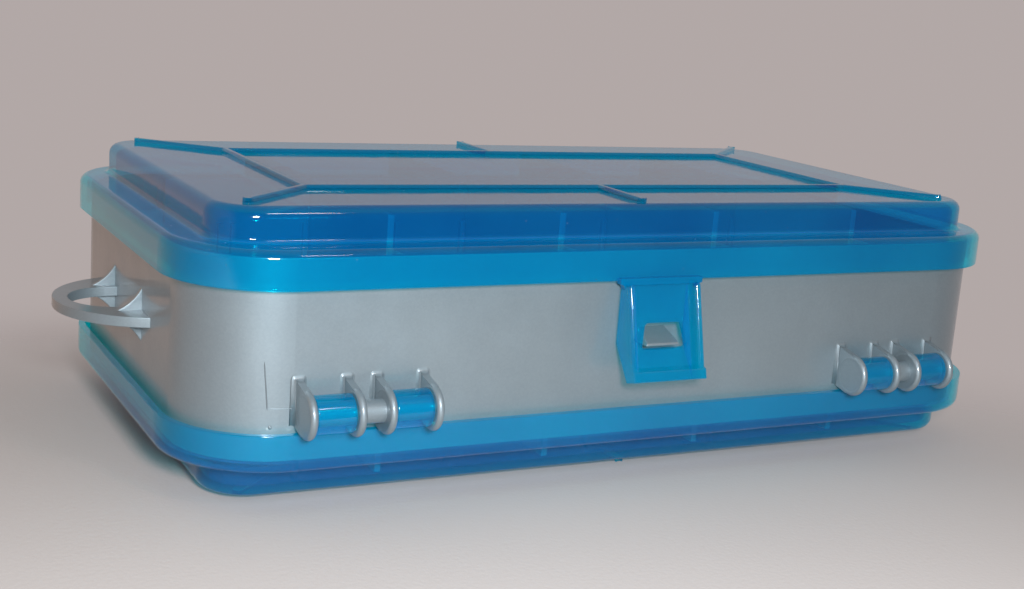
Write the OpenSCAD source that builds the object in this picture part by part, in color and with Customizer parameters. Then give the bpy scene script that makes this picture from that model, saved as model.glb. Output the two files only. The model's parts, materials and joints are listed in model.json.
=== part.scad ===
// Two-sided tackle box: a grey tub with a middle floor, and a hinged lid on each side of it.
// Millimetres. X runs along the box, the front is at -Y, Z is up, the origin is under the middle.
// The lower side is the upper side turned half round about the long middle line of the tub.

/* [Overall size] */
// Length over the lid rims
box_l = 205; // [190:1:230]
// Depth over the lid rims
box_w = 114; // [106:1:130]
// Height over the ribs of both lids
box_h = 60; // [57:1:72]

/* [Lids] */
// Plan radius of the rim corners
rim_r = 22; // [19:0.5:25]
// Plan radius of the deck corners
deck_r = 10; // [8:0.5:14]
// Height of the rim skirt
rim_h = 7.9; // [7.4:0.1:8.4]
// Wall of the lids
lid_t = 1.6; // [1.4:0.1:1.8]
// Ledge from the rim to the side of the deck
ledge_w = 7.4; // [6.4:0.1:8.4]
// Rise of the deck above the ledge
deck_h = 7; // [5.6:0.1:7.6]
// Rounding of the rim's upper edge
rim_round = 2; // [1.9:0.1:2.6]
// Rounding of the deck's upper edge
deck_round = 2.4; // [2:0.1:3]
// Fillet at the foot of the deck
foot_fillet = 1.2; // [0.6:0.1:2]

/* [Deck ribs] */
// Rise of the ribs above the deck
rib_h = 1; // [0.6:0.1:1.4]
// Width of the ribs
rib_w = 2.2; // [1.6:0.1:3]
// Length of the rib frame, to rib middles
frame_l = 141.4; // [120:0.2:150]
// Depth of the rib frame, to rib middles
frame_w = 55.4; // [44:0.2:60]
// End of a corner arm to the end of the deck
arm_inset_x = 7.7; // [6:0.1:9]
// End of a corner arm to the side of the deck
arm_inset_y = 6.2; // [5:0.1:8]
// End of a middle arm to the side of the deck
middle_inset = 3.6; // [3:0.1:6]

/* [Tub] */
// Wall of the tub
wall_t = 1.6; // [1.4:0.1:1.9]
// Middle floor between the two sides
floor_t = 1.8; // [1.4:0.1:2.4]
// Gap from the tub's wall to the inside of a rim
rim_gap = 1.1; // [1:0.05:1.3]
// Gap from the tub's edge to the ledge above it
seat_gap = 0.3; // [0.2:0.05:0.5]
// Long partition in each side
partition_t = 1.6; // [1.2:0.1:2]
// Gap from the partitions and dividers to the inside of a deck
top_gap = 0.5; // [0.4:0.05:1]
// Gap from the partitions and dividers to the inner sides of a deck
side_gap = 1.2; // [1:0.1:2]

/* [Dividers] */
// Plate of a divider
divider_t = 1.4; // [1:0.1:1.8]
// Gap round a divider in its slot
slot_gap = 0.15; // [0.1:0.01:0.25]
// Width of a guide rib beside a slot
guide_w = 1.2; // [0.8:0.1:1.6]
// Depth of a guide rib
guide_d = 1.2; // [0.8:0.1:1.6]
// Top of the guide ribs below the tub's edge
guide_drop = 3; // [1:0.5:8]
// Chamfer at the lower corners of a divider
divider_chamfer = 1.5; // [0.8:0.1:2.5]

/* [Hinges] */
// Middle of a hinge from the end of the rims
hinge_inset = 36.1; // [35:0.1:50]
// Thickness of an ear
ear_t = 1.6; // [1.2:0.1:2]
// Room for a clip between two ears
clip_room = 8.3; // [7:0.1:9]
// Bare pin between the two middle ears
pin_room = 4.7; // [3:0.1:6]
// Radius of the pin
pin_r = 2.4; // [2.2:0.05:2.5]
// Running clearance of a clip on the pin
pin_gap = 0.06; // [0.03:0.01:0.1]
// Outer radius of a clip
clip_r = 3.9; // [3.7:0.1:4.1]
// Arm of a clip
arm_t = 1.3; // [1.1:0.05:1.4]
// Gap at each end of a clip
clip_gap = 0.25; // [0.2:0.05:0.4]
// Radius of an ear
ear_r = 4.8; // [4.4:0.1:5]
// Pin axis beyond the outside of the rim
pin_out = 2.5; // [2.3:0.05:2.8]
// Pin axis beyond the edge of the rim
pin_down = 4.6; // [4.55:0.05:5]
// Foot of an ear on the wall, past the axis and away from the rim
ear_foot = 5.8; // [5.2:0.1:8]
// Head of an ear on the wall, past the axis and towards the rim
ear_head = 3.5; // [3.2:0.1:3.8]

/* [Latches] */
// Width of a latch tab
latch_w = 18.2; // [16.6:0.2:22]
// Length of a latch tab below its flex line
latch_l = 20.8; // [19:0.1:21.4]
// Lean of a latch tab away from the wall
latch_lean = 14.5; // [13:0.1:15.5]
// Width of the edge flanges
flange_w = 1.6; // [1.2:0.1:2]
// Flanges proud of the plate
flange_rise = 1.6; // [1:0.1:2]
// Lip proud of the plate
lip_rise = 1.9; // [1.4:0.1:2.2]
// Height of the lip
lip_h = 2.1; // [1.6:0.1:2.6]
// Window width at the top
window_top_w = 9.2; // [8.4:0.1:9.8]
// Window width at the bottom
window_low_w = 11.6; // [10.4:0.1:12.4]
// Window height
window_h = 5.4; // [5:0.1:5.8]
// Rounding of the window's corners
window_r = 0.8; // [0.4:0.1:1.2]
// Catch below the flex line
catch_drop = 12.95; // [12.6:0.05:13.4]
// Catch width at its step
catch_w = 8.4; // [7:0.1:9]
// Catch width at the top of its ramp
catch_top_w = 6.4; // [5:0.1:7]
// Height of the step's front
catch_h = 0.6; // [0.4:0.1:1.2]
// Height of the ramp on the wall
ramp_h = 2.6; // [2:0.1:3]
// Gap below the catch to the window's lower edge
catch_gap = 0.4; // [0.35:0.05:0.6]
// Gap from the rim's edge to the flex line's round
flex_gap = 0.15; // [0.12:0.01:0.25]

/* [End loop] */
// Half width of the loop at the wall
loop_half_w = 20.2; // [18:0.2:26]
// Reach of the loop
loop_out = 15.6; // [14.6:0.2:18]
// Thickness of the loop
loop_t = 2.2; // [1.8:0.1:3.4]
// Half width of the finger hole
hole_half_w = 9.6; // [8.4:0.1:10.4]
// Rim left at the end of the hole
loop_rim = 3.2; // [2.4:0.1:4.2]
// Gussets from the middle of the loop
gusset_y = 12.2; // [11.6:0.1:14]
// Thickness of a gusset
gusset_t = 1.2; // [1:0.1:1.8]
// Height of a gusset
gusset_h = 4.6; // [3:0.1:5.4]
// Length of a gusset
gusset_l = 5; // [3.6:0.1:6]
// Hollow of a gusset's slope
gusset_hollow = 0.6; // [0.3:0.1:0.8]

/* [Hidden] */
$fn = 64;

silver = [0.62, 0.66, 0.69];
pale_silver = [0.72, 0.75, 0.77];
blue = [0.02, 0.42, 0.72];

// A little depth by which joined shapes run into each other
join = 0.4;
// How far a cutting shape runs past what it cuts
past = 1;
// How far a round edge stands proud of the plate that carries it
bead = 0.05;

// Heights of the upper side
z_deck = box_h - rib_h;
z_ledge = z_deck - deck_h;
z_rim = z_ledge - rim_h;
z_edge = z_ledge - lid_t - seat_gap;
z_floor = box_h / 2 + floor_t / 2;
z_inner_top = z_deck - lid_t - top_gap;

// Plan sizes
wall_inset = lid_t + rim_gap;
tub_l = box_l - 2 * wall_inset;
tub_w = box_w - 2 * wall_inset;
tub_r = rim_r - wall_inset;
inner_l = tub_l - 2 * wall_t;
inner_w = tub_w - 2 * wall_t;
deck_l = box_l - 2 * ledge_w;
deck_w = box_w - 2 * ledge_w;
high_l = deck_l - 2 * lid_t - 2 * side_gap;
high_w = deck_w - 2 * lid_t - 2 * side_gap;

// Ten cells to a row, so nine slots, and a divider in every second slot
cells = 10;
cell = inner_l / cells;
function slot_x(i) = cell * i - inner_l / 2;

// Hinge of the upper lid, behind the tub
pin_y = box_w / 2 + pin_out;
pin_z = z_rim - pin_down;
bore_r = pin_r + pin_gap;
hinge_x = box_l / 2 - hinge_inset;
hinge_w = 4 * ear_t + 2 * clip_room + pin_room;
wall_a = tub_w / 2 - pin_y;
web_drop = 0.3;
mouth_angles = [70, 175];
mouth_step = (mouth_angles[1] - mouth_angles[0]) / 3;
ear_edge_r = ear_t / 2;
ear_core_r = ear_r - ear_edge_r;
touch_r = ear_r - web_drop;

// Latch of the upper lid, before the tub
flex_r = lid_t / 2;
flex_y = flex_r - box_w / 2;
flex_z = z_rim - flex_gap - flex_r;
wall_y = -tub_w / 2;
flange_gap = 0.9;
flange_knee = 13;
flange_top = 0.2;
flare_r = 1.2;
ridge_r = flange_w / 2;
ridge_u = flex_r + flange_rise - ridge_r;
step_z = flex_z - catch_drop;
window_z = step_z - catch_gap;
function tab_at(u, v) = [
    flex_y - u * cos(latch_lean) - v * sin(latch_lean),
    flex_z + u * sin(latch_lean) - v * cos(latch_lean)
];
catch_y = tab_at(0, catch_drop / cos(latch_lean)).x;

// End loop
loop_r = (loop_half_w ^ 2 + loop_out ^ 2) / (2 * loop_out);

// Turns a feature of the upper side into its twin of the lower side
module twin() {
    translate([0, 0, box_h])
        rotate([180, 0, 0])
            children();
}

// Draws a shape of the YZ plane along X from x0
module along_x(x0, length) {
    translate([x0, 0, 0])
        rotate([90, 0, 90])
            linear_extrude(length)
                children();
}

// Draws a shape of the XZ plane along Y, from y0 towards the front
module along_y(y0, length) {
    translate([0, y0, 0])
        rotate([90, 0, 0])
            linear_extrude(length)
                children();
}

module box_between(low, high) {
    translate(low)
        cube(high - low);
}

// Rod with round ends between two points of the YZ plane
module rod(from, to, r) {
    run = to - from;
    translate([0, from.x, from.y])
        rotate([-atan2(run.x, run.y), 0, 0])
            rotate_extrude()
                intersection() {
                    union() {
                        circle(r);
                        square([r, norm(run)]);
                        translate([0, norm(run)])
                            circle(r);
                    }
                    translate([0, -r])
                        square([r, norm(run) + 2 * r]);
                }
}

module rounded_plan(length, depth, r) {
    square([length, depth - 2 * r], center = true);
    square([length - 2 * r, depth], center = true);
    for (sx = [-1, 1], sy = [-1, 1])
        translate([sx * (length / 2 - r), sy * (depth / 2 - r)])
            circle(r);
}

// Block of a profile from (d0, z0) to (d1, z1), round at its outer upper corner
module round_block(d0, z0, d1, z1, r) {
    translate([d0, z0])
        square([d1 - d0, z1 - z0 - r]);
    translate([d0 + r, z0])
        square([d1 - d0 - r, z1 - z0]);
    translate([d0 + r, z1 - r])
        circle(r);
}

// Carries a section round the four sides and corners of a plan: distance in from its outside, and height
module swept(length, depth, r) {
    hx = length / 2 - r;
    hy = depth / 2 - r;
    for (k = [0:3])
        rotate([0, 0, 90 * k])
            translate(k % 2 == 0 ? [hx, hy, 0] : [hy, hx, 0]) {
                rotate([90, 0, 0])
                    linear_extrude(2 * (k % 2 == 0 ? hy : hx))
                        translate([r, 0])
                            mirror([1, 0])
                                children();
                rotate_extrude(angle = 90)
                    translate([r, 0])
                        mirror([1, 0])
                            children();
            }
}

// Block of a rounded plan, with a round at its upper edge
module round_top(length, depth, r, z0, z1, edge) {
    sweep = edge + past;
    inset = sweep - join;
    swept(length, depth, r)
        round_block(0, z0, sweep, z1, edge);
    translate([0, 0, z0])
        linear_extrude(z1 - z0)
            rounded_plan(length - 2 * inset, depth - 2 * inset, r - inset);
}

// Fillet in the corner between the ledge and the side of the deck
module foot_section() {
    difference() {
        translate([-foot_fillet, z_ledge - join])
            square([foot_fillet + join, foot_fillet + join]);
        translate([-foot_fillet, z_ledge + foot_fillet])
            circle(foot_fillet);
    }
}

module lid_shell() {
    inner = 2 * lid_t;
    z_under = z_ledge - lid_t;
    difference() {
        union() {
            round_top(box_l, box_w, rim_r, z_rim, z_ledge, rim_round);
            round_top(deck_l, deck_w, deck_r, z_under, z_deck, deck_round);
            swept(deck_l, deck_w, deck_r)
                foot_section();
        }
        round_top(
            box_l - inner, box_w - inner, rim_r - lid_t,
            z_rim - past, z_under, rim_round - lid_t
        );
        round_top(
            deck_l - inner, deck_w - inner, deck_r - lid_t,
            z_under - past, z_deck - lid_t, deck_round - lid_t / 2
        );
    }
}

// One straight rib with round ends, in plan
module rib_line(from, to) {
    run = to - from;
    translate(from)
        rotate(atan2(run.y, run.x)) {
            circle(d = rib_w);
            translate([norm(run), 0])
                circle(d = rib_w);
            translate([0, -rib_w / 2])
                square([norm(run), rib_w]);
        }
}

module deck_ribs() {
    fx = frame_l / 2;
    fy = frame_w / 2;
    ax = deck_l / 2 - arm_inset_x;
    ay = deck_w / 2 - arm_inset_y;
    translate([0, 0, z_deck - join])
        linear_extrude(rib_h + join) {
            for (s = [-1, 1]) {
                rib_line([-fx, s * fy], [fx, s * fy]);
                rib_line([s * fx, -fy], [s * fx, fy]);
                rib_line([0, s * fy], [0, s * (deck_w / 2 - middle_inset)]);
                for (t = [-1, 1])
                    rib_line([s * fx, t * fy], [s * ax, t * ay]);
            }
        }
}

// Section of a clip about the pin axis, with its arm up to the rim
module clip_section() {
    reach = 3 * clip_r;
    difference() {
        circle(clip_r);
        circle(bore_r);
        polygon([
            [0, 0],
            for (k = [0:3])
                let (a = mouth_angles[0] + k * mouth_step)
                    reach * [cos(a), sin(a)]
        ]);
    }
    translate([-clip_r, 0])
        square([arm_t, pin_down + join]);
}

// The two clips of each hinge of the upper lid
module clips() {
    clip_l = clip_room - 2 * clip_gap;
    for (s = [-1, 1], t = [-1, 1])
        translate([0, pin_y, pin_z])
            along_x(s * hinge_x + t * (pin_room / 2 + ear_t + clip_room / 2) - clip_l / 2, clip_l)
                clip_section();
}

module lid() {
    lid_shell();
    deck_ribs();
    clips();
}

module top_lid() {
    color(blue)
        lid();
}

module bottom_lid() {
    color(blue)
        twin()
            lid();
}

// Where a line from p touches a round just inside the ear's own
function touch(p, side) =
    let (a = atan2(p.y, p.x) + side * acos(touch_r / norm(p)))
    touch_r * [cos(a), sin(a)];

// Ear about the pin axis: a disc with a full round along its edge, and a web to the wall
module ear() {
    foot = [wall_a - join, -ear_foot];
    head = [wall_a - join, ear_head];
    plate_t = ear_t - 2 * bead;
    rotate([0, 90, 0])
        rotate_extrude() {
            translate([0, -plate_t / 2])
                square([ear_core_r, plate_t]);
            translate([ear_core_r, 0])
                circle(ear_edge_r);
        }
    along_x(-plate_t / 2, plate_t)
        polygon([foot, touch(foot, 1), [0, 0], touch(head, -1), head]);
}

// Ears and pin of both hinges of the upper lid
module hinge_ears() {
    for (s = [-1, 1])
        translate([s * hinge_x, pin_y, pin_z]) {
            along_x(-hinge_w / 2 + ear_t / 2, hinge_w - ear_t)
                circle(pin_r);
            for (t = [-1, 1], x = [hinge_w - ear_t, pin_room + ear_t])
                translate([t * x / 2, 0, 0])
                    ear();
        }
}

// Catch for the latch of the upper lid
module latch_catch() {
    rise = catch_h + ramp_h;
    intersection() {
        along_x(-catch_w / 2, catch_w)
            polygon([
                [wall_y + join, step_z],
                [catch_y, step_z],
                [catch_y, step_z + catch_h],
                [wall_y, step_z + rise],
                [wall_y + join, step_z + rise]
            ]);
        along_y(wall_y + past, wall_y - catch_y + 2 * past)
            polygon([
                [-catch_w / 2, step_z],
                [catch_w / 2, step_z],
                [catch_top_w / 2, step_z + rise],
                [-catch_top_w / 2, step_z + rise]
            ]);
    }
}

// Partition of the upper side, stepped in to pass under the deck
module partition() {
    box_between(
        [-inner_l / 2 - join, -partition_t / 2, z_floor - join],
        [inner_l / 2 + join, partition_t / 2, z_edge]
    );
    box_between(
        [-high_l / 2, -partition_t / 2, z_edge - join],
        [high_l / 2, partition_t / 2, z_inner_top]
    );
}

// Guide ribs that make the divider slots of the upper side
module guides() {
    side = divider_t / 2 + slot_gap;
    for (i = [1:cells - 1], s = [-1, 1], t = [-1, 1])
        translate([slot_x(i) + t * (side + guide_w / 2) - guide_w / 2, 0, 0]) {
            y_wall = inner_w / 2 + (join - guide_d) / 2;
            y_partition = partition_t / 2 + (guide_d - join) / 2;
            for (y = [y_wall, y_partition])
                translate([0, s * y - (guide_d + join) / 2, z_floor - join])
                    cube([guide_w, guide_d + join, z_edge - guide_drop - z_floor + join]);
        }
}

module tub_side() {
    partition();
    guides();
    hinge_ears();
    latch_catch();
}

// Slope of a gusset, hollowed by a round
module gusset_section() {
    half = norm([gusset_l, gusset_h]) / 2;
    r = (half ^ 2 + gusset_hollow ^ 2) / (2 * gusset_hollow);
    slope = [gusset_h, gusset_l] / (2 * half);
    difference() {
        translate([-join, -join])
            polygon([
                [0, 0],
                [gusset_l + join, 0],
                [gusset_l + join, join],
                [join, gusset_h + join],
                [0, gusset_h + join]
            ]);
        translate([gusset_l, gusset_h] / 2 + (r - gusset_hollow) * slope)
            circle(r, $fn = 96);
    }
}

module end_loop() {
    x_wall = -tub_l / 2;
    hole_x = x_wall - loop_out + loop_rim + hole_half_w;
    z_mid = box_h / 2;
    translate([0, 0, z_mid - loop_t / 2])
        linear_extrude(loop_t)
            difference() {
                intersection() {
                    translate([x_wall - loop_out + loop_r, 0])
                        circle(loop_r, $fn = 96);
                    translate([x_wall - loop_out - past, -loop_half_w - past])
                        square([loop_out + past + join, 2 * (loop_half_w + past)]);
                }
                translate([hole_x, 0])
                    circle(hole_half_w);
                translate([hole_x, -hole_half_w])
                    square([x_wall - hole_x, 2 * hole_half_w]);
            }
    for (s = [-1, 1], up = [0, 1])
        translate([x_wall, s * gusset_y + gusset_t / 2, z_mid])
            mirror([0, 0, up])
                translate([0, 0, loop_t / 2])
                    mirror([1, 0, 0])
                        along_y(0, gusset_t)
                            gusset_section();
}

module tub() {
    color(silver) {
        difference() {
            translate([0, 0, box_h - z_edge])
                linear_extrude(2 * z_edge - box_h)
                    rounded_plan(tub_l, tub_w, tub_r);
            for (z = [z_floor, -z_floor])
                translate([0, 0, z])
                    linear_extrude(box_h)
                        rounded_plan(inner_l, inner_w, tub_r - wall_t);
        }
        tub_side();
        twin()
            tub_side();
        end_loop();
    }
}

// Window of a latch tab: wider below, with rounded corners
module window_section() {
    lean = atan2((window_low_w - window_top_w) / 2, window_h);
    inset = window_r / cos(lean);
    low = [window_low_w / 2 - window_r * tan(lean) - inset, window_z + window_r];
    high = [window_top_w / 2 + window_r * tan(lean) - inset, window_z + window_h - window_r];
    side = window_r * [cos(lean), sin(lean)];
    right = [low - [0, window_r], low + side, high + side, high + [0, window_r]];
    polygon([
        each right,
        for (k = [3:-1:0])
            [-right[k].x, right[k].y]
    ]);
    for (corner = [low, high], s = [-1, 1])
        translate([s * corner.x, corner.y])
            circle(window_r);
}

// Latch tab of the upper lid: a leaning plate with flanges, a lip and a window
module latch() {
    back = wall_y - flange_gap;
    flange_t = flange_w - 2 * bead;
    flare_t = 2 * (flex_r - bead);
    difference() {
        union() {
            along_x(-latch_w / 2, latch_w) {
                translate([flex_y, flex_z])
                    circle(flex_r);
                polygon([
                    tab_at(flex_r, 0),
                    tab_at(flex_r, latch_l),
                    tab_at(-flex_r, latch_l),
                    tab_at(-flex_r, 0)
                ]);
                polygon([
                    tab_at(0, latch_l - lip_h),
                    tab_at(flex_r, latch_l - lip_h - lip_rise / 2),
                    tab_at(flex_r + lip_rise, latch_l - lip_h),
                    tab_at(flex_r + lip_rise, latch_l),
                    tab_at(0, latch_l)
                ]);
            }
            for (s = [-1, 1]) {
                translate([s * (latch_w - flange_w) / 2, 0, 0]) {
                    along_x(-flange_t / 2, flange_t)
                        polygon([
                            [back, flex_z + flange_top],
                            tab_at(0, -flange_top),
                            tab_at(flex_r, 0),
                            tab_at(ridge_u, ridge_r),
                            tab_at(ridge_u, latch_l),
                            tab_at(-flex_r, latch_l),
                            [back, flex_z - flange_knee]
                        ]);
                    rod(tab_at(ridge_u, ridge_r), tab_at(ridge_u, latch_l - lip_h), ridge_r);
                }
                along_y(flex_y + flare_t / 2, flare_t)
                    translate([s * latch_w / 2, flex_z + flange_top])
                        difference() {
                            translate([s > 0 ? -join : -flare_r, -flare_r])
                                square([flare_r + join, flare_r]);
                            translate([s * flare_r, -flare_r])
                                circle(flare_r);
                        }
            }
        }
        along_y(wall_y, box_w)
            window_section();
    }
}

module front_latch() {
    color(blue)
        latch();
}

module rear_latch() {
    color(blue)
        twin()
            latch();
}

// Divider of the upper side in slot i, row -1 at the front and 1 at the back
module upper_divider(row, i) {
    y_out = inner_w / 2 - slot_gap;
    y_in = partition_t / 2 + slot_gap;
    z_low = z_floor + slot_gap;
    color(pale_silver)
        mirror([0, row < 0 ? 1 : 0, 0])
            along_x(slot_x(i) - divider_t / 2, divider_t)
                polygon([
                    [y_in, z_low + divider_chamfer],
                    [y_in + divider_chamfer, z_low],
                    [y_out - divider_chamfer, z_low],
                    [y_out, z_low + divider_chamfer],
                    [y_out, z_edge],
                    [high_w / 2, z_edge],
                    [high_w / 2, z_inner_top],
                    [y_in, z_inner_top]
                ]);
}

// Divider of the lower side, with its rows named as they lie in the box
module lower_divider(row, i) {
    twin()
        upper_divider(-row, i);
}

tub();
top_lid();
bottom_lid();
front_latch();
rear_latch();
upper_divider(-1, 2);  // divider_tf_1
upper_divider(-1, 4);  // divider_tf_2
upper_divider(-1, 6);  // divider_tf_3
upper_divider(-1, 8);  // divider_tf_4
upper_divider(1, 2);  // divider_tr_1
upper_divider(1, 4);  // divider_tr_2
upper_divider(1, 6);  // divider_tr_3
upper_divider(1, 8);  // divider_tr_4
lower_divider(-1, 2);  // divider_bf_1
lower_divider(-1, 4);  // divider_bf_2
lower_divider(-1, 6);  // divider_bf_3
lower_divider(-1, 8);  // divider_bf_4
lower_divider(1, 2);  // divider_br_1
lower_divider(1, 4);  // divider_br_2
lower_divider(1, 6);  // divider_br_3
lower_divider(1, 8);  // divider_br_4
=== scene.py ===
import json
import math

import bmesh
import bpy
from mathutils import Matrix, Vector
from mathutils.geometry import intersect_point_line


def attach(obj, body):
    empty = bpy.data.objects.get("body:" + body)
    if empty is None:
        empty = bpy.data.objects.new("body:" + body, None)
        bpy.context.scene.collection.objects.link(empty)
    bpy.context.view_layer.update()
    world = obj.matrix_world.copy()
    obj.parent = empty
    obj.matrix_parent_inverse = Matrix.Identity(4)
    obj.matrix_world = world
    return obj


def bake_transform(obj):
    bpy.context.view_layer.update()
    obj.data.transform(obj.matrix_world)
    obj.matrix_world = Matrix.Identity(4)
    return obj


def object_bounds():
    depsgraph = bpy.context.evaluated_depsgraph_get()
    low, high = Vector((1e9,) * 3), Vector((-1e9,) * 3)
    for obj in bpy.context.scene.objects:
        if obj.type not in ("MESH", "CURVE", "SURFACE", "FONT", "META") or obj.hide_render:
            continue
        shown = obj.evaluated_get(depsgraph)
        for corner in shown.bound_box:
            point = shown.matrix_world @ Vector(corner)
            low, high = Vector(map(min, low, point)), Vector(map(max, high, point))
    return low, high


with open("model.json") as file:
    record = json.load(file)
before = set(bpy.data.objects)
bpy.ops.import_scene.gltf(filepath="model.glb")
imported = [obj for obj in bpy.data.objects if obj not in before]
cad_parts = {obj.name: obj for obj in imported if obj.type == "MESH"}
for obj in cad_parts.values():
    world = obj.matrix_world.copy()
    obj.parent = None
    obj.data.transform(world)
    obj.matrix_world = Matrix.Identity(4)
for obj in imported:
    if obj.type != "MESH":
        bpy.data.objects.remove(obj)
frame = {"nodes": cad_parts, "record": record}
cadLow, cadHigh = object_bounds()
nodes = frame["nodes"]
mm = 0.001
boxTop = cadHigh.z / mm
print("frame loaded:", len(nodes), "nodes")


# Camera: place in mm, turns in degrees, lens on a 36 mm sensor
shot = {
    "place": (-174.73, -316.08, 105.61),
    "yaw": 28.168,
    "pitch": 12.185,
    "roll": 4.269,
    "lens": 52.328,
    "sensor": 36.0,
}


def makeCamera():
    yaw, pitch, roll = (math.radians(shot[k]) for k in ("yaw", "pitch", "roll"))
    ahead = Vector((
        math.sin(yaw) * math.cos(pitch),
        math.cos(yaw) * math.cos(pitch),
        -math.sin(pitch),
    ))
    level = Vector((math.cos(yaw), -math.sin(yaw), 0))
    above = level.cross(ahead)
    right = level * math.cos(roll) + above * math.sin(roll)
    up = above * math.cos(roll) - level * math.sin(roll)
    data = bpy.data.cameras.new("camera")
    data.sensor_fit = "HORIZONTAL"
    data.sensor_width = shot["sensor"]
    data.lens = shot["lens"]
    camera = bpy.data.objects.new("camera", data)
    bpy.context.scene.collection.objects.link(camera)
    turn = Matrix((right, up, -ahead)).transposed().to_4x4()
    camera.matrix_world = Matrix.Translation(Vector(shot["place"]) * mm) @ turn
    bpy.context.scene.camera = camera
    return camera


camera = makeCamera()
print("camera set")


class Wire:
    # a node socket that can be used in sums; any other node comes from node()
    def __init__(self, tree, socket=None):
        self.tree = tree
        self.socket = socket

    def node(self, kind, settings=None, inputs=None, out=0):
        made = self.tree.nodes.new(kind)
        for name, value in (settings or {}).items():
            setattr(made, name, value)
        for name, value in (inputs or {}).items():
            if isinstance(value, Wire):
                self.tree.links.new(value.socket, made.inputs[name])
            else:
                made.inputs[name].default_value = value
        return Wire(self.tree, made.outputs[out])

    def sum(self, operation, *values):
        return self.node("ShaderNodeMath", {"operation": operation}, dict(enumerate(values)))

    def __add__(self, other):
        return self.sum("ADD", self, other)

    def __radd__(self, other):
        return self.sum("ADD", other, self)

    def __sub__(self, other):
        return self.sum("SUBTRACT", self, other)

    def __rsub__(self, other):
        return self.sum("SUBTRACT", other, self)

    def __mul__(self, other):
        return self.sum("MULTIPLY", self, other)

    def __rmul__(self, other):
        return self.sum("MULTIPLY", other, self)

    def __pow__(self, other):
        return self.sum("POWER", self, other)


def newMaterial(name):
    material = bpy.data.materials.new(name)
    material.use_nodes = True
    material.node_tree.nodes.clear()
    return material, Wire(material.node_tree)


def finishMaterial(wire, shader):
    out = wire.tree.nodes.new("ShaderNodeOutputMaterial")
    wire.tree.links.new(shader.socket, out.inputs["Surface"])


def mixColour(wire, mask, low, high):
    return wire.node(
        "ShaderNodeMix",
        {"data_type": "RGBA"},
        {"Factor": mask, 6: low, 7: high},
        out=2,
    )


def noise(wire, place, scale, detail=2.0, rough=0.5):
    return wire.node(
        "ShaderNodeTexNoise",
        inputs={"Vector": place, "Scale": scale, "Detail": detail, "Roughness": rough},
    )


def between(wire, value, low, high, toLow=0.0, toHigh=1.0):
    # maps value from low..high, held at its ends
    return wire.node(
        "ShaderNodeMapRange",
        {"clamp": True},
        {"Value": value, "From Min": low, "From Max": high, "To Min": toLow, "To Max": toHigh},
    )


# Polished blue plastic of the lids and latches
bluePlastic = {
    "azure": (0.0, 0.29, 0.75, 1.0),   # where the melt ran thin
    "deep": (0.0, 0.21, 0.65, 1.0),    # where it lies thick
    "film": (0.02, 0.955, 1.0, 1.0),   # tint of what shows through one face
    "deckFilm": (0.0, 0.72, 0.88, 1.0),  # the same in the decks
    "lowDeckPaintedLight": 0.5,                    # share of that in the lower deck: painted light, lighter there as if lit by the floor
    "deckFrom": (22.3, 22.8),          # mm from the box's middle plane to a deck
    "clear": 0.84,                     # share of a face that lets light through
    "ribClear": 0.11,                  # added to that in the thin ribs
    "ribFrom": (29.02, 29.1),
    "ledgeClear": -0.25,               # added to it on the ledges round the decks
    "ledgeAt": (21.9, 22.15),
    "bendWide": 10.25,                 # mm, where a latch's web stands for the faces in it
    "bendHigh": (13.17, 14.53),
    "bendDeep": (55.3, 57.1),
    "mirror": 0.042,                   # what a face reflects head-on
    "ior": 1.36,
    "gloss": 0.06,
    "smudge": 0.10,                    # added roughness where it has been handled
    "flowSize": 30.0,                  # per metre
    "flowFrom": (0.35, 0.65),
    "smudgeSize": 55.0,
    "smudgeFrom": (0.48, 0.75),
    "dustSize": 260.0,
    "dustFrom": (0.035, 0.06),
    "dustPale": (0.45, 0.62, 0.75, 1.0),
    "dustShow": 0.35,
    "dustRough": 0.3,
    "ripple": 0.03,
    "rippleSize": 160.0,
    "rippleDeep": 0.001,
}


def within(value, ends):
    # 1 between the ends, which are in mm
    past = value.sum("GREATER_THAN", value, ends[0] * mm)
    return past * value.sum("LESS_THAN", value, ends[1] * mm)


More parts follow.
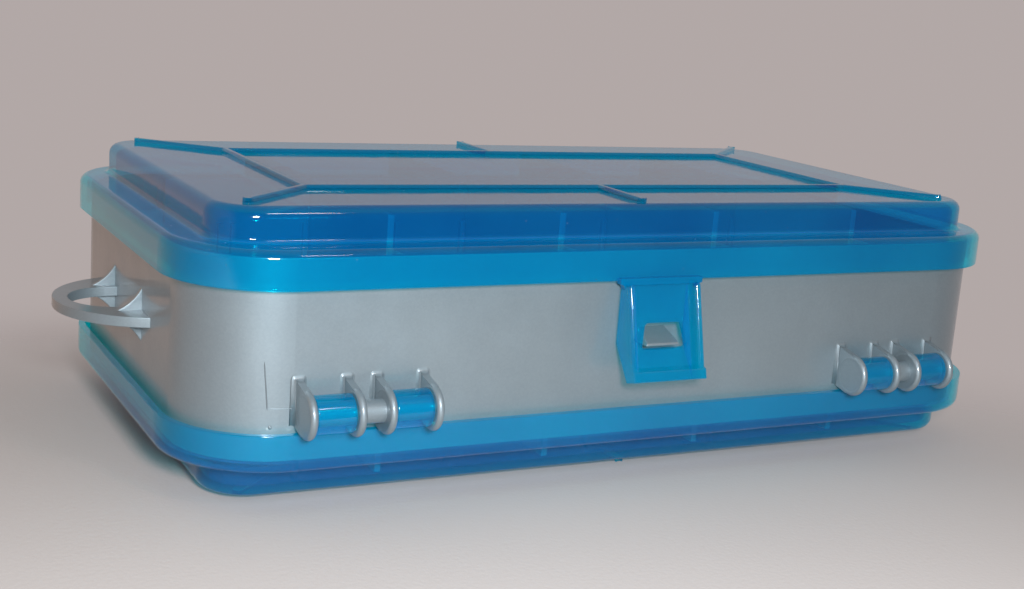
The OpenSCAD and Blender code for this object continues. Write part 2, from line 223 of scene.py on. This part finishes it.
def makeBlue(name, spec, hidesBend):
    material, wire = newMaterial(name)
    place = wire.node("ShaderNodeTexCoord", out="Object")
    flow = noise(wire, place, spec["flowSize"], 3.0)
    handled = noise(wire, place, spec["smudgeSize"], 5.0, 0.6)
    smudge = between(wire, handled, *spec["smudgeFrom"])
    specks = wire.node(
        "ShaderNodeTexVoronoi",
        {"feature": "F1"},
        {"Vector": place, "Scale": spec["dustSize"]},
        out="Distance",
    )
    dust = between(wire, specks, *spec["dustFrom"], 1.0, 0.0)
    thick = between(wire, flow, *spec["flowFrom"])
    colour = mixColour(wire, thick, spec["azure"], spec["deep"])
    colour = mixColour(wire, dust * spec["dustShow"], colour, spec["dustPale"])
    rough = spec["gloss"] + smudge * spec["smudge"] + dust * spec["dustRough"]
    ripple = wire.node(
        "ShaderNodeBump",
        inputs={
            "Strength": spec["ripple"],
            "Distance": spec["rippleDeep"],
            "Height": noise(wire, place, spec["rippleSize"]),
        },
    )
    body = wire.node(
        "ShaderNodeBsdfPrincipled",
        inputs={"Base Color": colour, "Roughness": rough, "IOR": spec["ior"], "Normal": ripple},
    )
    facing = wire.node("ShaderNodeLayerWeight", inputs={"Blend": 0.5}, out="Facing")
    mirror = spec["mirror"] + facing ** 5 * (1 - spec["mirror"])
    x, y, z = (
        wire.node("ShaderNodeSeparateXYZ", inputs={"Vector": place}, out=k) for k in "XYZ"
    )
    level = z - boxTop / 2 * mm
    fromMiddle = wire.sum("ABSOLUTE", level)
    inDeck = between(wire, fromMiddle, *(e * mm for e in spec["deckFrom"]))
    # painted light: the lower deck takes less of the deck tint, so it looks lit by the floor
    inDeck = inDeck * (1 - (1 - spec["lowDeckPaintedLight"]) * wire.sum("LESS_THAN", level, 0.0))
    inRib = between(wire, fromMiddle, *(e * mm for e in spec["ribFrom"]))
    onLedge = within(fromMiddle, spec["ledgeAt"])
    clear = spec["clear"] + inRib * spec["ribClear"] + onLedge * spec["ledgeClear"]
    thin = wire.node("ShaderNodeBsdfTransparent", inputs={"Color": spec["film"]})
    dense = wire.node("ShaderNodeBsdfTransparent", inputs={"Color": spec["deckFilm"]})
    through = wire.node("ShaderNodeMixShader", inputs={0: inDeck, 1: thin, 2: dense})
    shine = wire.node(
        "ShaderNodeBsdfGlossy",
        inputs={"Color": (1, 1, 1, 1), "Roughness": rough, "Normal": ripple},
    )
    film = wire.node("ShaderNodeMixShader", inputs={0: mirror, 1: through, 2: shine})
    shader = wire.node("ShaderNodeMixShader", inputs={0: clear, 1: body, 2: film})
    if hidesBend:
        # front at the top, rear at the bottom, where y and level have opposite signs
        inside = within(fromMiddle, spec["bendHigh"])
        inside = inside * within(wire.sum("ABSOLUTE", y), spec["bendDeep"])
        inside = inside * wire.sum("LESS_THAN", wire.sum("ABSOLUTE", x), spec["bendWide"] * mm)
        inside = inside * wire.sum("LESS_THAN", y * level, 0.0)
        nothing = wire.node("ShaderNodeBsdfTransparent", inputs={"Color": (1, 1, 1, 1)})
        shader = wire.node("ShaderNodeMixShader", inputs={0: inside, 1: shader, 2: nothing})
    finishMaterial(wire, shader)
    return material


# Silver pearl plastic of the tub
silverPearl = {
    "light": (0.285, 0.35, 0.388, 1.0),
    "dark": (0.24, 0.295, 0.33, 1.0),
    "metal": 0.6,
    "rough": 0.54,
    "streak": (1.0, 1.0, 0.12),        # flow lines stand upright
    "flowSize": 48.0,                  # per metre
    "flowFrom": (0.3, 0.7),
    "flowRough": 0.05,
    "flakeSize": 2600.0,
    "flakeShare": 0.3,
    "wearSize": 70.0,
    "wearFrom": (0.45, 0.75),
    "wearRough": 0.10,
    "coat": 0.8,
    "coatRough": 0.12,
    "grain": 0.04,
    "grainSize": 1400.0,
    "grainDeep": 0.0005,
}


def makeSilver(name, spec):
    material, wire = newMaterial(name)
    place = wire.node("ShaderNodeTexCoord", out="Object")
    stretched = wire.node(
        "ShaderNodeVectorMath",
        {"operation": "MULTIPLY"},
        {0: place, 1: spec["streak"]},
    )
    flow = between(wire, noise(wire, stretched, spec["flowSize"], 3.0), *spec["flowFrom"])
    flake = wire.node(
        "ShaderNodeTexVoronoi",
        {"feature": "F1"},
        {"Vector": place, "Scale": spec["flakeSize"]},
        out="Color",
    )
    flakeValue = wire.node("ShaderNodeSeparateColor", inputs={"Color": flake}, out="Red")
    tone = flow * (1 - spec["flakeShare"]) + flakeValue * spec["flakeShare"]
    colour = mixColour(wire, tone, spec["dark"], spec["light"])
    wear = between(wire, noise(wire, place, spec["wearSize"], 5.0, 0.6), *spec["wearFrom"])
    rough = spec["rough"] + wear * spec["wearRough"] - flow * spec["flowRough"]
    grain = wire.node(
        "ShaderNodeBump",
        inputs={
            "Strength": spec["grain"],
            "Distance": spec["grainDeep"],
            "Height": noise(wire, place, spec["grainSize"]),
        },
    )
    shader = wire.node(
        "ShaderNodeBsdfPrincipled",
        inputs={
            "Base Color": colour,
            "Metallic": spec["metal"],
            "Roughness": rough,
            "Coat Weight": spec["coat"],
            "Coat Roughness": spec["coatRough"],
            "Normal": grain,
        },
    )
    finishMaterial(wire, shader)
    return material


# Satin grey plastic of the dividers
dividerGrey = dict(
    silverPearl,
    light=(0.40, 0.42, 0.43, 1.0),
    dark=(0.34, 0.36, 0.37, 1.0),
    metal=0.15,
    rough=0.45,
    flakeSize=2200.0,
    coat=0.0,
    coatRough=0.3,
    grain=0.06,
)

# The lids' plastic in a latch's web, which lets less light through, darkened with painted shade
# to match the see-through rim beside it
bentBluePaintedShade = dict(
    bluePlastic,
    azure=(0.0, 0.186, 0.41, 1.0),
    deep=(0.0, 0.172, 0.385, 1.0),
    clear=0.3,
)

# The tub's plastic darkened with painted shade, standing in for the shadow in the groove of a
# mould line
shadePaintedPearl = dict(
    silverPearl,
    light=(0.20, 0.24, 0.265, 1.0),
    dark=(0.17, 0.21, 0.235, 1.0),
)

blue = makeBlue("blue_plastic", bluePlastic, True)
blueWebPaintedShade = makeBlue("blue_web_painted_shade", bentBluePaintedShade, False)
silver = makeSilver("silver_pearl", silverPearl)
pearlPaintedShade = makeSilver("pearl_painted_shade", shadePaintedPearl)
grey = makeSilver("divider_grey", dividerGrey)
print("materials made")


# Lines of the joints, in mm: each lid's pins and each latch tab's bend
moves = frame["record"]["behaviour"]["joints"]
joints = {j["name"]: Vector(j["pos_m"]) / mm for j in moves}


def halfTurn(p):
    # the lower side is the upper one turned half round, so a front place has a rear twin
    return Vector((p.x, -p.y, boxTop - p.z))


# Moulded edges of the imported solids: radius in mm, steps round it, and the finish
edges = {
    "tub": {"radius": 0.2, "steps": 2, "finish": silver},
    "lid": {"radius": 0.2, "ribRadius": 0.75, "steps": 4, "finish": blue},
    "latch": {"radius": 0.2, "steps": 2, "finish": blue},
    "divider": {"radius": 0.15, "steps": 2, "finish": grey},
}
sharpFrom = math.radians(40)    # an edge this sharp can be rounded
straightTo = math.radians(150)  # an edge past this goes straight on
slimTo = math.radians(10)       # too slim a corner for a round
flatTo = math.radians(0.4)      # faces this flat are one face
opposed = -0.3                  # cosine between two edges of a face that face each other
spare = 0.06                    # mm left between two rounds
ribAcross = (2.1, 2.5)          # mm, seams across the flat top of a rib
onTop = 0.01                    # mm from the level of the rib tops
keyGrid = 200                   # steps to a mm when places are matched
weldWithin = 1e-6               # m
faceWeight = 60                 # how much the large faces lead the shading


def edgeKey(ends):
    return tuple(sorted(tuple(round(c / mm * keyGrid) for c in v.co) for v in ends))


def nearest(point, a, b):
    on, share = intersect_point_line(point, a, b)
    return (point - (a if share < 0 else b if share > 1 else on)).length / mm


def hasRoom(edge, radii):
    # a round fits where no short edge branches off at its ends,
    # and no facing edge of its two faces is near
    radius = radii[edge]
    for v in edge.verts:
        along = edge.other_vert(v).co - v.co
        for e in v.link_edges:
            far = e.other_vert(v)
            angle = along.angle(far.co - v.co)
            need = radius + spare + max(radii.get(x, 0) for x in far.link_edges if x != e)
            short = angle < straightTo and e.calc_length() < need * mm
            if e != edge and (angle < slimTo or short):
                return False
    for own in edge.link_loops:
        way = (own.link_loop_next.vert.co - own.vert.co).normalized()
        ends = [v.co for v in edge.verts]
        for loop in own.face.loops:
            back = (loop.link_loop_next.vert.co - loop.vert.co).normalized()
            if way.dot(back) < opposed and loop.edge != edge:
                need = radius + radii.get(loop.edge, 0) + spare
                others = [v.co for v in loop.edge.verts]
                gaps = [nearest(p, *others) for p in ends] + [nearest(p, *ends) for p in others]
                if min(gaps) < need and not set(edge.verts) & set(loop.edge.verts):
                    return False
    return True


def onRibs(edge):
    return all(abs(abs(v.co.z / mm - boxTop / 2) - boxTop / 2) < onTop for v in edge.verts)


def weighEdges(piece, spec):
    # bevel weights: full along the tops of the deck ribs, less on other outer edges,
    # none where a round has no room
    bm = bmesh.new()
    bm.from_mesh(piece.data)
    bmesh.ops.remove_doubles(bm, verts=bm.verts, dist=weldWithin)
    for e in bm.edges:
        # the flat tops of the ribs stay cut straight across
        across = ribAcross[0] < e.calc_length() / mm < ribAcross[1]
        e.seam = onRibs(e) and e.calc_face_angle(1) < flatTo and across
    seams = {edgeKey(e.verts) for e in bm.edges if e.seam}
    bmesh.ops.dissolve_limit(
        bm, angle_limit=flatTo, verts=bm.verts, edges=bm.edges, delimit={"SEAM"}
    )
    ribRadius = spec.get("ribRadius", spec["radius"])
    sharp = [e for e in bm.edges if abs(e.calc_face_angle_signed(0)) > sharpFrom]
    radii = {e: ribRadius if onRibs(e) else spec["radius"] for e in sharp if e.is_convex}
    weights = {}
    for e in sharp:
        fits = e in radii and hasRoom(e, radii)
        weights[edgeKey(e.verts)] = radii[e] / ribRadius if fits else 0
    bm.free()
    mesh = piece.data
    weight = mesh.attributes.new("bevel_weight_edge", "FLOAT", "EDGE")
    hard = mesh.attributes.get("sharp_edge")
    hard = hard or mesh.attributes.new("sharp_edge", "BOOLEAN", "EDGE")
    for e in mesh.edges:
        key = edgeKey([mesh.vertices[i] for i in e.vertices])
        value = weights.get(key, -1)
        e.use_seam = key in seams
        weight.data[e.index].value = max(0, value)
        hard.data[e.index].value = value == 0
    rounded = [w for w in weights.values() if w > 0]
    print(piece.name, "rounded edges:", len(rounded), "of", len(weights))
    return ribRadius


def dressNode(name, spec):
    piece = nodes[name]
    piece.data.materials.clear()
    piece.data.materials.append(spec["finish"])
    width = weighEdges(piece, spec)
    weld = piece.modifiers.new("weld", "WELD")
    weld.merge_threshold = weldWithin
    flat = piece.modifiers.new("flat", "DECIMATE")
    flat.decimate_type = "DISSOLVE"
    flat.angle_limit = flatTo
    flat.delimit = {"SEAM"}
    edge = piece.modifiers.new("edge", "BEVEL")
    edge.limit_method = "WEIGHT"
    edge.width = width * mm
    edge.segments = spec["steps"]
    edge.use_clamp_overlap = False
    edge.loop_slide = False
    edge.miter_outer = "MITER_ARC"
    shade = piece.modifiers.new("shade", "WEIGHTED_NORMAL")
    shade.weight = faceWeight
    shade.keep_sharp = True


for name in nodes:
    kind = next(k for k in edges if k in name)
    dressNode(name, edges[kind])
print("nodes dressed")


def addPiece(name, bm, material):
    mesh = bpy.data.meshes.new(name)
    bmesh.ops.scale(bm, vec=(mm, mm, mm), verts=bm.verts)
    bmesh.ops.recalc_face_normals(bm, faces=bm.faces)
    bm.to_mesh(mesh)
    bm.free()
    mesh.materials.append(material)
    piece = bpy.data.objects.new(name, mesh)
    bpy.context.scene.collection.objects.link(piece)
    return piece


def bridge(bm, loops):
    for a, b in zip(loops, loops[1:]):
        for i in range(len(a)):
            j = (i + 1) % len(a)
            bm.faces.new((a[i], a[j], b[j], b[i]))


# Web between a lid's rim and its latch tab, in mm about the bend
web = {
    "half": 9.1,       # half width beside the tab's round edge
    "flare": 1.2,      # round on either side, under the rim
    "thick": 0.785,    # half thickness
    "top": 1.4,
    "rim": 0.95,       # height over the bend of the web's upper end point
    "waist": 0.55,
    "shoulder": 0.2,
    "sink": 0.03,
    "hug": 0.76,       # hollow over the tab's round edge
    "hugTurns": (150, 120, 90, 60, 30),
    "steps": 6,
}


def makeWeb(name, twin):
    bm = bmesh.new()
    bend = joints["front_latch_flex"]
    outer = web["half"] + web["flare"]
    thick, hug, steps = web["thick"], web["hug"], web["steps"]
    flares = [web["half"] + web["flare"] * k / steps for k in range(steps + 1)]
    stations = [(-x, True) for x in reversed(flares)]
    stations += [(-web["half"], False), (web["half"], False)]
    stations += [(x, True) for x in flares]
    loops = []
    for x, flared in stations:
        fall = math.sqrt(max(0, web["flare"] ** 2 - (outer - abs(x)) ** 2))
        low = web["shoulder"] - web["flare"] + fall - web["sink"]
        side = low if flared else 0.0
        loop = [(-thick, web["top"]), (-thick, web["waist"]), (-thick, side)]
        for angle in web["hugTurns"]:
            turn = math.radians(angle)
            over = low if flared else hug * math.sin(turn)
            loop.append((-hug * math.cos(math.pi - turn), over))
        loop += [(thick, side), (thick, web["waist"]), (thick, web["top"])]
        points = [bend + Vector((x, y, z)) for y, z in loop]
        loops.append([bm.verts.new(halfTurn(p) if twin else p) for p in points])
    bridge(bm, loops)
    bm.faces.new(loops[0])
    bm.faces.new(loops[-1])
    for a, b in zip(loops[steps:], loops[steps + 1:-steps]):
        # the hollow over the tab's edge hides like the faces inside it
        for i in range(2, 3 + len(web["hugTurns"])):
            bm.faces.get((a[i], a[i + 1], b[i + 1], b[i])).material_index = 1
    # the web's darker blue is painted shade, matched to the see-through rim around it
    piece = addPiece(name, bm, blueWebPaintedShade)
    piece.data.materials.append(blue)
    rim = bend + Vector((0, 0, web["rim"]))
    ends = [(halfTurn(p) if twin else p) * mm for p in (rim, bend)]
    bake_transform(piece)


makeWeb("front_web", False)
makeWeb("rear_web", True)
print("latch webs made")


# Fillets at the feet of the hinge ears, in mm
earFoot = {
    "hinges": (-66.4, 66.4),
    "ears": (-13.05, -3.15, 3.15, 13.05),
    "half": 0.75,          # half an ear's thickness
    "ends": (-3.4, 5.8),   # the foot's ends about the pin
    "slope": 0.228,        # of an ear's top
    "wall": -54.3,
    "reach": 1.0,
    "sink": 0.02,
    "steps": 6,
    "leftTurns": (157, 135, 112, 90),
    "rightTurns": (90, 68, 45, 23, 0),
}


def makeEarFillets(name, twin):
    bm = bmesh.new()
    pin = joints["bottom_lid_hinge"]
    out = Vector((0, -1, 0))
    reach, steps = earFoot["reach"], earFoot["steps"]
    for x in (h + e for h in earFoot["hinges"] for e in earFoot["ears"]):
        # the path round an ear's foot: up one side, over the top, down the other
        low, high = (pin.z + end for end in earFoot["ends"])
        path = [(-1, low, 180), (-1, high, 180)]
        path += [(-1, high, turn) for turn in earFoot["leftTurns"]]
        path += [(1, high, turn) for turn in earFoot["rightTurns"]]
        path += [(1, low, 0)]
        loops = []
        for side, z, turn in path:
            angle = math.radians(turn)
            away = Vector((math.cos(angle), 0, math.sin(angle)))
            along = (out - Vector((0, 0, earFoot["slope"] * away.z))).normalized()
            foot = Vector((x + side * earFoot["half"], earFoot["wall"], z))
            foot = foot - earFoot["sink"] * (away + out)
            loop = [foot]
            for k in range(steps + 1):
                t = k / steps
                loop.append(foot + reach * ((1 - t) ** 2 * away + t ** 2 * along))
            loops.append([bm.verts.new(halfTurn(p) if twin else p) for p in loop])
        bridge(bm, loops)
        bm.faces.new(loops[0])
        bm.faces.new(loops[-1])
    piece = addPiece(name, bm, silver)
    for face in piece.data.polygons:
        face.use_smooth = len(face.vertices) == 4
    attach(piece, "tub")


makeEarFillets("ear_fillets_front", False)
makeEarFillets("ear_fillets_rear", True)
print("ear fillets made")


# Marks that the mould left on the tub's front left corner, in mm and degrees round the corner
mouldMarks = {
    "corner": (-80.5, -35.0),
    "radius": 19.3,
    "bead": ((-1, -0.05), (-0.6, 0.05), (0, 0.08), (0.6, 0.05), (1, -0.05)),  # across, proud
    "blunt": 8,            # how bluntly a bead ends
    "tip": 0.02,
    "steps": 16,
    "upright": {"turn": (-107.4, -104.8), "height": (29.9, 20.3), "width": 0.34},
    "level": {"turn": (-104.6, -90.3), "height": (20.6, 20.5), "width": 0.22},
    "nub": {"turn": -102.9, "height": 16.85, "size": 0.32, "tall": 1.3},
}


def onCorner(turn, height, proud):
    angle = math.radians(turn)
    r = mouldMarks["radius"] + proud
    x, y = mouldMarks["corner"]
    return Vector((x + r * math.cos(angle), y + r * math.sin(angle), height))


def makeMark(name, spec, across, material):
    # a low bead along a line on the corner
    bm = bmesh.new()
    loops = []
    steps = mouldMarks["steps"]
    for k in range(steps + 1):
        s = k / steps
        turn = spec["turn"][0] + s * (spec["turn"][1] - spec["turn"][0])
        height = spec["height"][0] + s * (spec["height"][1] - spec["height"][0])
        taper = max(mouldMarks["tip"], 1 - (2 * s - 1) ** mouldMarks["blunt"])
        half = spec["width"] / 2 * math.sqrt(taper)
        loop = []
        for a, proud in mouldMarks["bead"]:
            turnBy = math.degrees(a * half / mouldMarks["radius"]) if across == "turn" else 0
            rise = a * half if across == "height" else 0
            loop.append(bm.verts.new(onCorner(turn + turnBy, height + rise, proud)))
        loops.append(loop)
    bridge(bm, loops)
    bm.faces.new(loops[0])
    bm.faces.new(loops[-1])
    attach(addPiece(name, bm, material), "tub")


def makeNub():
    spec = mouldMarks["nub"]
    bm = bmesh.new()
    bmesh.ops.create_uvsphere(bm, u_segments=20, v_segments=12, radius=spec["size"])
    place = onCorner(spec["turn"], spec["height"], 0.0)
    for v in bm.verts:
        v.co = place + Vector((v.co.x, v.co.y, v.co.z * spec["tall"]))
    piece = addPiece("gate_nub", bm, silver)
    for face in piece.data.polygons:
        face.use_smooth = True
    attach(piece, "tub")


# the upright mould line is a bead in darker silver: painted shade for the shadow of a groove
makeMark("mould_line_upright", mouldMarks["upright"], "turn", pearlPaintedShade)
makeMark("mould_line_level", mouldMarks["level"], "height", silver)
makeNub()
print("mould marks made")


# Stage: a pale floor that fades out into the room, in m
stage = {
    "radius": 1.4,
    "pale": (0.60, 0.575, 0.56, 1.0),
    "rough": 0.9,
    "shine": 0.2,
    "weave": 0.15,
    "weaveSize": 900.0,
    "weaveDeep": 0.0004,
    "far": (0.31, 0.48),         # fades over this span from the place under the camera
    "front": (-0.155, -0.215),   # and over this one on the camera's side of the box
}


def makeFloor():
    mesh = bpy.data.meshes.new("floor")
    bm = bmesh.new()
    bmesh.ops.create_circle(bm, cap_ends=True, radius=stage["radius"], segments=96)
    bm.to_mesh(mesh)
    bm.free()
    floor = bpy.data.objects.new("floor", mesh)
    bpy.context.scene.collection.objects.link(floor)
    floor.location.z = cadLow.z
    material, wire = newMaterial("pale_floor")
    place = wire.node("ShaderNodeTexCoord", out="Object")
    under = (shot["place"][0] * mm, shot["place"][1] * mm, 0.0)
    away = wire.node(
        "ShaderNodeVectorMath",
        {"operation": "DISTANCE"},
        {0: place, 1: under},
        out="Value",
    )
    depth = wire.node("ShaderNodeSeparateXYZ", inputs={"Vector": place}, out="Y")
    fades = [
        wire.node(
            "ShaderNodeMapRange",
            {"interpolation_type": "SMOOTHERSTEP"},
            {"Value": value, "From Min": stage[k][0], "From Max": stage[k][1]},
        )
        for k, value in (("far", away), ("front", depth))
    ]
    fade = wire.sum("MAXIMUM", *fades)
    weave = wire.node(
        "ShaderNodeBump",
        inputs={
            "Strength": stage["weave"],
            "Distance": stage["weaveDeep"],
            "Height": noise(wire, place, stage["weaveSize"], 3.0),
        },
    )
    cloth = wire.node(
        "ShaderNodeBsdfPrincipled",
        inputs={
            "Base Color": stage["pale"],
            "Roughness": stage["rough"],
            "Specular IOR Level": stage["shine"],
            "Normal": weave,
        },
    )
    clear = wire.node("ShaderNodeBsdfTransparent")
    finishMaterial(wire, wire.node("ShaderNodeMixShader", inputs={0: fade, 1: cloth, 2: clear}))
    mesh.materials.append(material)


# Lights: right, up and back are from the lens, in mm
lights = {
    "key": {
        "shift": {"right": 48, "up": 32, "back": 20},
        "size": 60,
        "watts": 1.56,
        "colour": (0.95, 0.98, 1.0),
    },
    "lamp": {
        "shift": {"right": 620, "up": 620, "back": 300},
        "size": 110,
        "watts": 0.6,
        "colour": (1.0, 0.84, 0.80),
    },
}

# Room: lighter beyond the box than on the side of the camera, and warmer on the left
room = {
    "beyond": (0.445, 0.392, 0.384, 1.0),
    "near": (0.065, 0.055, 0.05, 1.0),
    "warm": (0.55, 0.365, 0.285, 1.0),
    "aheadFrom": (-0.6, 0.5),    # cosines from the camera's way
    "leftFrom": (0.4, 0.8),      # and from its left
}


def makeLights():
    turn = camera.matrix_world.to_3x3()
    target = (cadLow + cadHigh) / 2
    for name, spec in lights.items():
        data = bpy.data.lights.new(name, "AREA")
        data.size = spec["size"] * mm
        data.energy = spec["watts"]
        data.color = spec["colour"]
        light = bpy.data.objects.new(name, data)
        bpy.context.scene.collection.objects.link(light)
        shift = Vector([spec["shift"][k] for k in ("right", "up", "back")]) * mm
        light.location = camera.matrix_world.translation + turn @ shift
        light.rotation_euler = (target - light.location).to_track_quat("-Z", "Y").to_euler()


def makeRoom():
    world = bpy.data.worlds.new("room")
    bpy.context.scene.world = world
    world.use_nodes = True
    world.node_tree.nodes.clear()
    wire = Wire(world.node_tree)
    yaw = math.radians(shot["yaw"])
    way = wire.node("ShaderNodeTexCoord", out="Generated")
    ahead, left = (
        wire.node(
            "ShaderNodeVectorMath",
            {"operation": "DOT_PRODUCT"},
            {0: way, 1: axis},
            out="Value",
        )
        for axis in ((math.sin(yaw), math.cos(yaw), 0.0), (-math.cos(yaw), math.sin(yaw), 0.0))
    )
    isAhead = between(wire, ahead, *room["aheadFrom"])
    isLeft = between(wire, left, *room["leftFrom"])
    colour = mixColour(wire, isAhead, room["near"], room["beyond"])
    colour = mixColour(wire, isLeft, colour, room["warm"])
    glow = wire.node("ShaderNodeBackground", inputs={"Color": colour})
    out = world.node_tree.nodes.new("ShaderNodeOutputWorld")
    world.node_tree.links.new(glow.socket, out.inputs["Surface"])


makeFloor()
makeLights()
makeRoom()
bpy.context.scene.view_settings.view_transform = "Standard"
print("stage and lights set")
